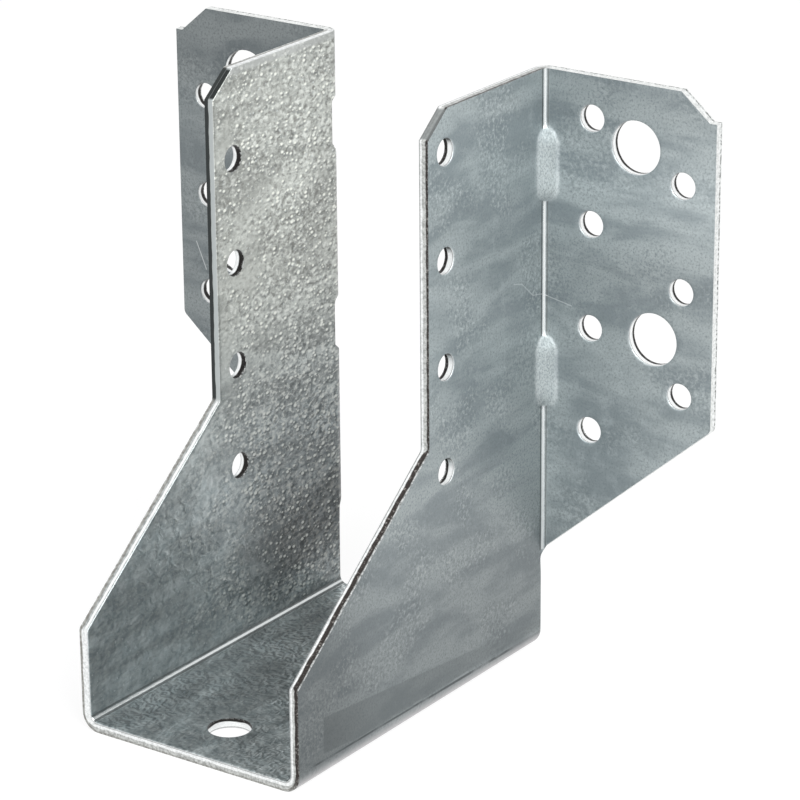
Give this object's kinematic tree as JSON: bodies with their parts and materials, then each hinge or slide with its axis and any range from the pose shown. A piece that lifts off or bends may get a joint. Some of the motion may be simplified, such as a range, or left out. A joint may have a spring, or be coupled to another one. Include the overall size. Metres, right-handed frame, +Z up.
{
  "type": "joist hanger",
  "caption": "Face-fix joist hanger folded from galvanised steel sheet: a U seat with slanted walls and two outward flanges, punched for nails and bolts.",
  "frame": {"origin": "middle of the footprint, on the underside of the seat; the header face is 40 mm behind it at y = +0.040", "axes": "+X to the right seen from the joist's side, +Y from the joist into the header, +Z up"},
  "size_m": [0.121, 0.08, 0.114],
  "materials": {
    "galvanised_sheet": "hot-dip galvanised, dull, with bare sheared edges"
  },
  "bodies": {
    "root": {"joist_hanger": "galvanised_sheet"}
  },
  "joints": []
}
